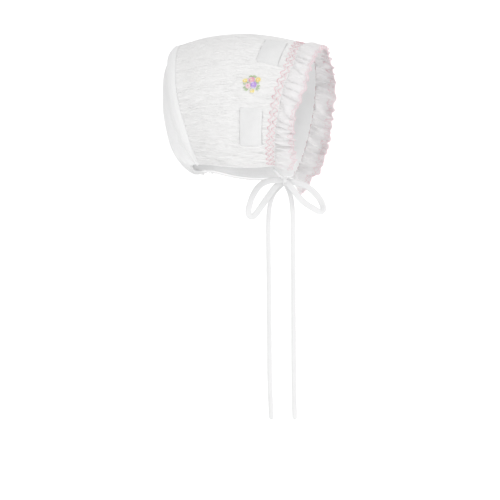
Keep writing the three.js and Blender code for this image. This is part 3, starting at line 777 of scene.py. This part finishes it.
def make_back():
    R_, A = 70, 200
    r = np.linspace(0, 1, R_)
    a = np.linspace(-1, 1, A)
    rg, ag = np.meshgrid(r, a, indexing="ij")
    P = back(rg, ag)
    _, _, N = frames(back, rg, ag)
    lift = back_lift(rg, ag)
    top = P + N * lift[..., None]
    low = P - N * np.full(lift.shape, 1.1)[..., None]
    low = np.where((lift < -0.8)[..., None], P + N * (lift - 0.3)[..., None], low)
    top[0] = seam_rows(a, -0.42, -0.9)
    low[0] = seam_rows(a, 0.55, -0.9)
    uv = np.stack([ag * 100, rg * 90], -1)
    ob = shell("back_cloth", top, low, uv, M_BACK, "smooth_cotton")
    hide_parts("back_panel")
    return ob


back_cloth = make_back()


def make_lining():
    S, R_, A = 70, 40, 220
    a = np.linspace(-1, 1, A)
    s = np.linspace(0, 1, S)[:-1]
    sg, ag = np.meshgrid(s, a, indexing="ij")
    P, (_, _, N) = body(sg, ag), frames(body, sg, ag)
    h = 0.35 * noise(sg * 4.2, ag * 9, 41) + 0.25 * noise(sg * 2.0, ag * 22, 42)
    fall = 0.8 * noise(sg * 1.3, ag * 5.5, 43)
    d0, d1 = 1.16, WALL + GAP + 0.5 * LINING
    t1 = P - N * d0
    l1 = P - N * (d1 + np.abs(h + fall) * 0.9)[..., None]
    r = np.linspace(0, 1, R_)[1:]
    rg, ag2 = np.meshgrid(r, a, indexing="ij")
    Q, (_, _, M) = back(rg, ag2), frames(back, rg, ag2)
    hb = np.abs(0.4 * noise(rg * 3, ag2 * 9, 44)) + 0.5 * smooth(rg, 0.6, 1) * (1 + np.sin(ag2 * 40))
    t2 = Q - M * d0
    l2 = Q - M * (d1 + hb)[..., None]
    top = np.concatenate([t1, seam_rows(a, d0, 0)[None], t2])
    low = np.concatenate([l1, seam_rows(a, d1, 0)[None], l2])
    u = np.concatenate([np.linspace(0, DEPTH, S), DEPTH + np.linspace(0, 70, R_)[1:]])
    uv = np.stack(np.meshgrid(u, a * ARCH / 2, indexing="ij"), -1)
    ob = shell("lining_cloth", top, low, uv, M_LINING, "smooth_cotton")
    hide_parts("lining")
    return ob


lining_cloth = make_lining()

# ------------------------------------------------------------------ the ruffle
FOLDS = 34


def ruffle_phase(a):
    """Fold phase round the arch: about 34 folds, unevenly spaced."""
    return math.pi * FOLDS * (a + 1) + 3.0 * noise(a * 9.0, 0.7, 51) + 1.5 * noise(a * 23.0, 2.7, 52)


RUFFLE_SINK = 0.55


def ruffle(t, a):
    """Point on the ruffle's middle: t from the seam (0) to the free edge (1). Tight gathers at the seam open into soft folds."""
    t, a = np.broadcast_arrays(np.asarray(t, float), np.asarray(a, float))
    tu, ta, n = frames(body, np.zeros_like(a), a)
    wide, lean, drop = look(RUFFLE, a)
    ph = ruffle_phase(a)
    fade = np.clip((1 - np.abs(a)) / 0.02, 0, 1)
    # the right side lies nearly flat, the top and the left side flute more
    full = 1.0 + 0.7 * smooth(a, -0.25, 0.15)
    amp = (0.22 + 1.75 * t ** 1.3) * (0.66 + 0.65 * noise(a * 13, 5.1, 53)) * full * fade
    skew = ph + 0.5 * np.sin(ph + 2.0 * noise(a * 11, 1.1, 56)) + 1.0 * t * noise(a * 15, 9.1, 57)
    wave = amp * (np.sin(skew) + 0.20 * np.sin(2 * skew + 1.1))
    # creases drawn in by the gathering thread: deep ones some 8 mm apart, each running out at its own length and slant, fine ones between
    Y = a * ARCH / 2
    psi = Y / 8.8 + 0.75 * noise(Y / 21, 0.3, 58) + (0.80 * np.sign(a) * -1 + 0.35 * noise(Y / 23, 5.2, 63)) * t
    cell = np.floor(psi)
    v = psi - cell
    # each puff rises gently from above and turns under steeply below
    g = np.where(a < 0, v * (1 + 0.8 * (1 - v)), 1 - (1 - v) * (1 + 0.8 * v))
    tall = (3.0 + 1.8 * smooth(a, -0.1, 0.1)) * (1 + 0.32 * noise(cell * 1.37, 9.4, 67)) * (1 + 0.6 * smooth(-a, 0.68, 0.84))
    reach = 0.85 + 0.45 * noise(cell * 1.37, 4.4, 60)
    crease = tall * (np.sin(math.pi * g) ** 0.85 - 0.5) * (0.2 + 0.8 * smooth(t, 0.0, 0.14)) * np.exp(-(t / np.maximum(reach, 0.3)) ** 2.2) * fade
    psi2 = math.pi * Y / 2.9 + 2.0 * noise(Y / 9, 8.3, 64) + 1.6 * t * noise(Y / 12, 2.2, 65)
    small = -(0.95 + 0.6 * smooth(a, -0.12, 0.12)) * (1 - np.abs(np.sin(psi2))) ** 1.3 * np.exp(-(t / (0.26 + 0.16 * noise(Y / 5, 3.7, 68))) ** 1.4) * fade
    mid = 0.8 * np.exp(-((t - 0.42) / 0.35) ** 2) * noise(a * 30, t * 1.4, 59) * fade
    loops = smooth(a, -0.12, 0.12)
    roll = t ** 1.6 * fade * (0.9 * (1 - loops) * np.sin(2 * skew + 0.4) * (0.6 + 0.6 * noise(a * 9, 8.1, 54)) + 0.9 * loops * (0.85 + 0.5 * noise(a * 9, 8.1, 54)) * np.sin(skew + 0.3))
    # one deep fold low on the right side, where the edge laps over itself
    lap = np.exp(-((a + 0.562) / 0.030) ** 2) * t ** 1.6
    left = smooth(a, -0.2, 0.1)
    curl = (1.1 + 0.6 * left) * np.cos(skew + 0.6) * (0.7 + 0.5 * noise(a * 17, 6.3, 66)) * fade
    length_ = wide * (1 + 0.03 * noise(a * 21, 3.1, 55)) + curl * t
    p = body(np.zeros_like(a), a) - tu * (bow(a) - 0.25 + (length_ - bow(a) + 0.25) * t)[..., None]
    puff = 1.3 * np.sin(math.pi * np.clip(t, 0, 1)) ** 0.8
    p = p + n * (lean * t * t + wave + crease + small + mid + puff + 1.4 * lap - RUFFLE_SINK)[..., None] + ta * (roll - 2.4 * lap * np.tanh((a + 0.562) / 0.018))[..., None]
    end = 6.0 * smooth(a, 0.92, 1.0) * t
    p = p + np.stack([np.zeros_like(t), end, -drop * t - end], -1)
    return p


def make_ruffle():
    T, A = 26, 1150
    t = np.linspace(0, 1, T)
    a = np.linspace(-1, 1, A)
    tg, ag = np.meshgrid(t, a, indexing="ij")
    P = ruffle(tg, ag)
    # normals of the folded cloth itself
    du = np.gradient(P, axis=0)
    dv = np.gradient(P, axis=1)
    N = unit(np.cross(dv, -du))
    _, _, base = frames(body, np.zeros(A), a)
    N = N * np.sign(np.sum(N * base[None], -1, keepdims=True) + 1e-6)
    th = 0.32
    top, low = P + N * th, P - N * th
    uv = np.stack([ag * ARCH, tg * 21], -1)
    ob = shell("ruffle_cloth", top, low, uv, M_FRILL, "ruffle_cotton")
    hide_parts("face_ruffle")
    return ob


ruffle_cloth = make_ruffle()

# ------------------------------------------------------------------ ribbon windows
for side, sign in (("right", -1), ("left", 1)):
    for where, q in WINDOWS.items():
        U, V = 24, 36
        u = np.linspace(-0.02, 1.02, U)[:, None]
        v = np.linspace(-0.02, 1.02, V)[None]
        mix = lambda k: (1 - u) * (1 - v) * q[0][k] + u * (1 - v) * q[1][k] + u * v * q[2][k] + (1 - u) * v * q[3][k]
        s_, a_ = mix(0), sign * mix(1)
        P = body(s_, a_)
        _, _, N = frames(body, s_, a_)
        vv = np.broadcast_to(v, s_.shape)
        uu = np.broadcast_to(u, s_.shape)
        crown = 1.0 * np.sin(math.pi * np.clip(uu, 0, 1)) * (0.7 + 0.8 * noise(uu * 0.8, vv * 1.7 + sign, 62)) + 0.35 * noise(uu * 1.9, vv * 2.2 + sign, 61)
        tuck = smooth(vv, -0.02, 0.06) * smooth(1 - vv, -0.02, 0.06)
        edge = smooth(uu, -0.02, 0.03) * smooth(1 - uu, -0.02, 0.03)
        h = 0.32 + tuck * (0.45 + 0.15 * edge + crown)
        uv = np.stack([uu * 21, vv * 36], -1)
        ob = shell("ribbon_strip_" + side + "_" + where, P + N * h[..., None], P + N * (h - 0.3)[..., None], uv, M_SATIN, "satin_ribbon")
        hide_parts("ribbon_" + side + "_" + where)

# ------------------------------------------------------------------ smocking: pink zigzag stitches behind the front seam
def on_body(X, Y, rise):
    """Point above the outer cloth, X mm behind the front seam and Y mm round the arch."""
    s_, a_ = np.asarray(X, float) / DEPTH, np.asarray(Y, float) / (ARCH / 2)
    s_, a_ = np.broadcast_arrays(s_, a_)
    P = body(s_, a_)
    _, _, N = frames(body, s_, a_)
    return P + N * (body_lift(s_, a_) + rise)[..., None]


def smocking():
    """Smocking: two zigzag columns of short stitches stepping aslant, both in step, in two tones of pink and a few deeper stitches."""
    rng = np.random.default_rng(7)
    step = 3.55
    n = int(2 * (ARCH / 2 - 2.5) / step)
    edges = (0.5, 4.9, 9.3)
    tones = ([], [], [])
    for col in range(2):
        for k in range(n):
            y0 = -ARCH / 2 + 2.5 + k * step + 1.2 * col
            forward = k % 2 == 0
            x0, x1 = (edges[col], edges[col + 1]) if forward else (edges[col + 1], edges[col])
            for i in range(3):
                # one short stitch of the slanting row
                m = (i + 0.5) / 3
                xm, ym = x0 + (x1 - x0) * m + rng.normal(0, 0.14), y0 + step * m + rng.normal(0, 0.12)
                half = 0.95 + rng.normal(0, 0.10)
                turn = 0.55 + rng.normal(0, 0.12)
                u = np.linspace(-1, 1, 5)
                X = xm + half * turn * np.sign(x1 - x0) * u
                Y = ym + half * (1 - 0.35 * turn) * u
                inner = (i == 2) == forward and i != 1
                tones[2 if inner and rng.random() < 0.55 else (0 if rng.random() < 0.55 else 1)].append(on_body(front_s(X, Y / (ARCH / 2)) * DEPTH, Y, 0.20 + 0.16 * (1 - u * u)))
    # small knots of thread in the hollows of each column
    for col in range(2):
        for k in range(0, n, 2):
            y = -ARCH / 2 + 2.5 + (k + 0.5) * step + 1.2 * col + rng.normal(0, 0.2)
            x = (edges[col] + edges[col + 1]) / 2 + (0.9 if k % 2 else -0.9) + rng.normal(0, 0.25)
            u = np.linspace(-1, 1, 4)
            Y = y + 0.25 * u
            X = x + 0.55 * u
            tones[1 if rng.random() < 0.6 else 0].append(on_body(front_s(X, Y / (ARCH / 2)) * DEPTH, Y + 1.7, 0.12 + 0.1 * (1 - u * u)))
    made = []
    for k, (paths, mat) in enumerate(zip(tones, (M_PINK_THREAD, M_PALE_THREAD, M_DEEP_PINK))):
        made.append(many_tubes("smocking_stitches_%d" % (k + 1), paths, 0.30, 5, mat, "ruffle_cotton", ends=0.6))
    return made


smock_piece = smocking()


# ------------------------------------------------------------------ picot edging on the ruffle's free edge
def edging():
    """Fine crocheted edge: small scallops outside the turned edge and a zigzag overcast inside it."""
    aa = np.linspace(-1, 1, 6001)
    E = ruffle(np.ones_like(aa), aa)
    d = np.r_[0, np.cumsum(np.linalg.norm(np.diff(E, axis=0), axis=1))]
    total = d[-1]
    pitch = 3.7
    n = int(total / pitch)
    pitch = total / n
    u = np.linspace(0, total, n * 12 + 1)
    a = np.interp(u, d, aa)
    e1 = ruffle(np.ones_like(a), a)
    e0 = ruffle(np.full_like(a, 0.90), a)
    out = unit(e1 - e0)
    along = unit(np.gradient(e1, axis=0))
    nrm = np.cross(along, out)
    ph = math.pi * u / pitch
    V, F, o = [], [], 0

    def put(path, r):
        nonlocal o
        v, f = tube_parts(path, r, 5)
        V.append(v)
        F.extend(tuple(x + o for x in g) for g in f)
        o += len(v)

    zig = np.sin(2 * math.pi * u / 6.4 + 1.8 * noise(u / 19, 0.4, 71))
    # the inner zigzag: close to the edge high on the right, wider low down and on the left
    deep_in = 0.8 + 1.5 * (1 - smooth(a, -0.66, -0.52)) + 2.4 * smooth(a, -0.12, 0.12)
    sway = deep_in * (0.75 + 0.4 * noise(u / 8, 3.3, 72))
    put(e1 + out * (0.15 + (0.95 - 0.4 * smooth(a, -0.1, 0.1)) * np.abs(np.sin(ph)) ** 0.7)[:, None] + along * (0.45 * np.sin(2 * ph))[:, None] + nrm * (0.15 * np.sin(2 * ph))[:, None], 0.23)
    put(e1 + out * 0.05 + nrm * (0.05 * np.sin(4 * ph))[:, None], 0.15)
    for side_ in (1, -1):
        put(e1 - out * (deep_in + 0.4 + sway * zig)[:, None] + nrm * (side_ * 0.48), 0.19)
    # a second row of arcs inside, on the left
    arcs = a > 0.06
    for side_ in (1, -1):
        put((e1 - out * (5.0 + 1.9 * np.abs(np.sin(math.pi * u / 5.2 + 1.2 * noise(u / 15, 6.4, 73))))[:, None] + nrm * (side_ * 0.50))[arcs], 0.18)
    return make_mesh("ruffle_edging", np.concatenate(V), F, None, M_PINK_EDGE, "ruffle_cotton")


edge_piece = edging()


# ------------------------------------------------------------------ seam and hem stitches
def running(name, curve, length_, on, off, radius, mat, slot, lift=0.12, seed=5):
    """A running stitch: curve(u mm) gives points just above the cloth."""
    rng = np.random.default_rng(seed)
    paths = []
    u = 0.6
    while u + on < length_:
        t = np.linspace(u, u + on * (1 + rng.normal(0, 0.05)), 5)
        q = (t - t[0]) / (t[-1] - t[0])
        paths.append(curve(t, lift * np.sin(math.pi * q)))
        u += on + off
    return many_tubes(name, paths, radius, 5, mat, slot, ends=0.6)


def seam_ends():
    """The gathering thread's loops along the inside of the front seam: a long one every 9 mm or so, short ones between;
    their dark old-rose colour also paints the shade in the hollows of the gathers.
    """
    rng = np.random.default_rng(17)
    paths, radii = [], []
    Y = -ARCH / 2 + 6
    while Y < ARCH / 2 - 6:
        for size, at in ((1.0, 0.0), (0.2, 3.4), (0.28, 5.9)):
            y = Y + at + rng.normal(0, 0.5)
            L = size * (3.3 + rng.normal(0, 0.5))
            u = np.linspace(0, 1, 5)
            yy = y + L * (u - 0.5)
            xx = -0.4 + (0.7 * np.sin(math.pi * u) + rng.normal(0, 0.25)) * size
            a_ = yy / (ARCH / 2)
            P = body(np.zeros_like(a_), a_)
            tu, _, N = frames(body, np.zeros_like(a_), a_)
            paths.append(P + tu * xx[:, None] - N * (2.15 + 0.25 * np.sin(math.pi * u))[:, None])
            radii.append(0.30 * (0.6 + 0.4 * size))
        Y += 9.2 + rng.normal(0, 0.9)
    return many_tubes("front_seam_thread_and_shade", paths, radii, 5, M_SEAM_THREAD_AND_SHADE, "ruffle_cotton", ends=0.6)


seam_piece = seam_ends()
for tag, sign in (("right", -1), ("left", 1)):
    running("hem_stitch_" + tag, lambda t, h, sign=sign: on_body(t, sign * (ARCH / 2 - 4.0), 0.06 + h), DEPTH - 2, 2.0, 0.9, 0.16, M_WHITE_THREAD, "crinkle_cotton")
running("back_seam_stitch", lambda t, h: on_body(np.full_like(t, DEPTH - 1.6), t - ARCH / 2, 0.05 + h), ARCH, 2.0, 0.9, 0.16, M_WHITE_THREAD, "crinkle_cotton", seed=6)
for tag, sign in (("right", -1), ("left", 1)):
    for where, q in WINDOWS.items():
        for k, (c0, c1, off_) in enumerate(((q[1], q[2], -1.5), (q[0], q[3], 1.5))):
            long_ = abs(c1[1] - c0[1]) * ARCH / 2
            running("window_stitch_%s_%s_%d" % (tag, where, k + 1), lambda t, h, c0=c0, c1=c1, off_=off_, long_=long_, sign=sign: on_body((c0[0] + (c1[0] - c0[0]) * t / long_) * DEPTH + off_, sign * (c0[1] + (c1[1] - c0[1]) * t / long_) * ARCH / 2, 0.04 + h), long_, 1.5, 0.8, 0.15, M_WHITE_THREAD, "crinkle_cotton", seed=30 + k)


# ------------------------------------------------------------------ rosebuds in bullion stitch
M_PINK = thread("rose pink thread", (0.88, 0.50, 0.62), (0.80, 0.36, 0.50))
M_PALE = thread("pale rose thread", (0.92, 0.76, 0.79), (0.87, 0.64, 0.69))
M_PURPLE = thread("violet thread", (0.60, 0.43, 0.83), (0.46, 0.29, 0.72))
M_LILAC = thread("lilac thread", (0.76, 0.66, 0.90), (0.66, 0.53, 0.84))
M_YELLOW = thread("yellow thread", (0.92, 0.80, 0.36), (0.87, 0.70, 0.22))
M_CREAM = thread("cream thread", (0.92, 0.89, 0.72), (0.88, 0.82, 0.58))
M_GREEN = thread("leaf green thread", (0.58, 0.71, 0.47), (0.46, 0.61, 0.35))
M_DEEP = thread("olive thread", (0.36, 0.34, 0.18), (0.26, 0.24, 0.14))


def rose_frame(sign):
    """Flat millimetre coordinates on the cloth round the cluster: x towards the face, y up."""
    s0, a0 = ROSES[0], ROSES[1] * sign
    e = 1e-3
    base = body(np.array(s0), np.array(a0))
    ps = (body(np.array(s0 + e), np.array(a0)) - base) / e
    pa = (body(np.array(s0), np.array(a0 + e)) - base) / e
    m = np.array([[ps[1], pa[1]], [ps[2], pa[2]]])
    inv = np.linalg.inv(m)

    def place(x, y, rise):
        x, y = np.asarray(x, float), np.asarray(y, float)
        ds = inv[0, 0] * (-x) + inv[0, 1] * y
        da = inv[1, 0] * (-x) + inv[1, 1] * y
        return on_body((s0 + ds) * DEPTH, (a0 + da) * ARCH / 2, rise)
    return place


def rosebuds(tag, sign):
    place = rose_frame(sign)
    rng = np.random.default_rng(21)
    groups = {}

    def bullion(mat, cx, cy, radius, a0, a1, fat, rise=0.35, squash=1.0):
        """A coiled stitch that lies along an arc: fat wraps on a core."""
        n = 22
        q = np.linspace(a0, a1, n)
        rr = radius * (1 + 0.03 * np.sin(3 * q))
        x, y = cx + rr * np.cos(q), cy + squash * rr * np.sin(q)
        u = np.linspace(0, 1, n)
        P = place(x, y, rise + 0.35 * fat * np.sin(math.pi * u) ** 0.6)
        r = fat * (0.62 + 0.38 * np.sin(math.pi * u) ** 0.5) * (1 + 0.13 * np.sin(u * 2 * math.pi * 9))
        groups.setdefault(mat, []).append((P, r))

    def rose(mat, light, heart, cx, cy, size, squash=1.0):
        fat = size * 0.125
        bullion(heart, cx, cy, size * 0.09, 0.2, 0.2 + 4.6, fat * 0.9, 0.75, squash)
        for k in range(3):
            a = 0.5 + k * 2.1
            bullion(mat, cx, cy, size * 0.22, a, a + 2.2, fat, 0.55, squash)
        for k in range(5):
            a = 0.1 + k * 1.257 + rng.normal(0, 0.12)
            bullion(mat if k % 2 == 0 else light, cx, cy, size * (0.385 + 0.02 * (k % 2)), a, a + 1.3, fat, 0.35, squash)

    def leaf(x0, y0, x1, y1, wide):
        for sgn in (-1, 1):
            n = 12
            u = np.linspace(0, 1, n)
            dx, dy = x1 - x0, y1 - y0
            L = math.hypot(dx, dy)
            w = sgn * wide * 0.5 * np.sin(math.pi * u) ** 0.8
            x, y = x0 + dx * u - dy / L * w, y0 + dy * u + dx / L * w
            groups.setdefault(M_GREEN, []).append((place(x, y, 0.30 + 0.15 * np.sin(math.pi * u)), 0.17 + 0.04 * np.sin(math.pi * u)))
        u = np.linspace(0.1, 0.9, 8)
        groups.setdefault(M_GREEN, []).append((place(x0 + (x1 - x0) * u, y0 + (y1 - y0) * u, np.full(8, 0.28)), np.full(8, 0.16)))

    # leaves first, flowers over them; x towards the face, y up, from the cluster's middle
    for q in ((-3.6, 7.2, -0.6, 8.6, 1.3), (0.4, 8.4, 3.2, 7.6, 1.3), (-2.0, 7.0, 0.6, 7.8, 1.1), (1.5, 7.2, 4.0, 7.0, 1.1),
              (-9.4, 1.0, -6.6, 0.6, 1.2), (-9.6, -3.0, -6.4, -2.2, 1.3), (-8.4, -5.4, -5.4, -4.0, 1.3), (-6.6, -6.2, -4.2, -4.6, 1.1),
              (4.0, 1.0, 7.0, 0.4, 1.2), (4.6, -2.6, 8.0, -2.2, 1.3), (4.2, -4.2, 7.6, -5.4, 1.3), (3.6, -5.2, 5.6, -6.2, 1.1), (-5.0, 0.2, -4.0, 2.2, 1.0)):
        leaf(*q)
    rose(M_PINK, M_PALE, M_CREAM, -0.8, 4.1, 6.0)
    rose(M_YELLOW, M_CREAM, M_CREAM, -7.4, 3.9, 4.6)
    rose(M_YELLOW, M_YELLOW, M_CREAM, 5.8, 3.8, 4.9)
    rose(M_PALE, M_PALE, M_PINK, -4.3, -1.6, 5.2)
    rose(M_PURPLE, M_LILAC, M_LILAC, 1.3, -1.0, 6.1)
    rose(M_YELLOW, M_CREAM, M_CREAM, 0.0, -7.2, 4.5, 0.85)
    # small dark knots between the flowers
    for x, y in ((2.9, 2.2), (-5.2, 1.9), (-1.6, -4.6), (-2.9, -6.0), (-5.6, -5.0), (4.3, 1.6), (6.0, -7.4)):
        q = np.linspace(0, 2 * math.pi, 9)
        groups.setdefault(M_DEEP, []).append((place(x + 0.16 * np.cos(q), y + 0.16 * np.sin(q), np.linspace(0.2, 0.5, 9)), np.full(9, 0.17)))
    made = []
    for k, (mat, items) in enumerate(groups.items()):
        V, F, o = [], [], 0
        for P, r in items:
            v, f = tube_parts(P, r, 8)
            V.append(v)
            F += [tuple(x + o for x in g) for g in f]
            o += len(v)
        made.append(make_mesh("rosebuds_" + tag + "_" + str(k + 1), np.concatenate(V), F, None, mat, "crinkle_cotton"))
    return made


roses = rosebuds("right", 1)

# ------------------------------------------------------------------ floor, light, picture
def studio():
    me = bpy.data.meshes.new("floor")
    prof = [(-3.0, -0.52)] + [(1.1 + 0.6 * math.sin(k / 12 * math.pi / 2), -0.52 + 0.6 * (1 - math.cos(k / 12 * math.pi / 2))) for k in range(13)] + [(1.7, 3.0)]
    c, s_ = math.cos(CAM_TURN), math.sin(CAM_TURN)
    v, f = [], []
    for (d, z) in prof:
        for w in (-3.5, 3.5):
            v.append((d * c - w * s_, d * s_ + w * c, z))
    for i in range(len(prof) - 1):
        f.append((2 * i, 2 * i + 1, 2 * i + 3, 2 * i + 2))
    me.from_pydata(v, [], f)
    me.polygons.foreach_set("use_smooth", [True] * len(f))
    floor = bpy.data.objects.new("floor", me)
    bpy.context.collection.objects.link(floor)
    m = bpy.data.materials.new("paper sweep")
    m.use_nodes = True
    m.node_tree.nodes["Principled BSDF"].inputs["Base Color"].default_value = (0.93, 0.93, 0.93, 1)
    m.node_tree.nodes["Principled BSDF"].inputs["Roughness"].default_value = 0.9
    m.node_tree.nodes["Principled BSDF"].inputs["Emission Color"].default_value = (1, 1, 1, 1)
    m.node_tree.nodes["Principled BSDF"].inputs["Emission Strength"].default_value = 0.22
    me.materials.append(m)

    def area(name, pos, aim, size, power):
        d = bpy.data.lights.new(name, "AREA")
        d.shape, d.size, d.energy = "SQUARE", size, power
        o = bpy.data.objects.new(name, d)
        bpy.context.collection.objects.link(o)
        from mathutils import Vector
        o.location = pos
        o.rotation_euler = (Vector(aim) - Vector(pos)).to_track_quat("-Z", "Y").to_euler()
        return o

    area("key", (-1.30, -0.95, 1.30), (0, 0, -0.1), 0.55, 10.6)
    area("under", (-1.2, 0.1, -0.44), (0.03, 0.0, -0.12), 0.6, 2.0)
    area("mouth", (-0.40, -1.2, -0.06), (0, 0, -0.09), 0.5, 1.5)
    area("far side", (1.1, -0.45, 0.45), (0.05, -0.08, -0.07), 0.4, 3.2)
    world = bpy.data.worlds.new("studio") if bpy.context.scene.world is None else bpy.context.scene.world
    bpy.context.scene.world = world
    world.use_nodes = True
    bg = world.node_tree.nodes.get("Background")
    bg.inputs["Color"].default_value = (1, 1, 1, 1)
    bg.inputs["Strength"].default_value = 0.73
    bpy.context.scene.view_settings.view_transform = "Standard"


studio()
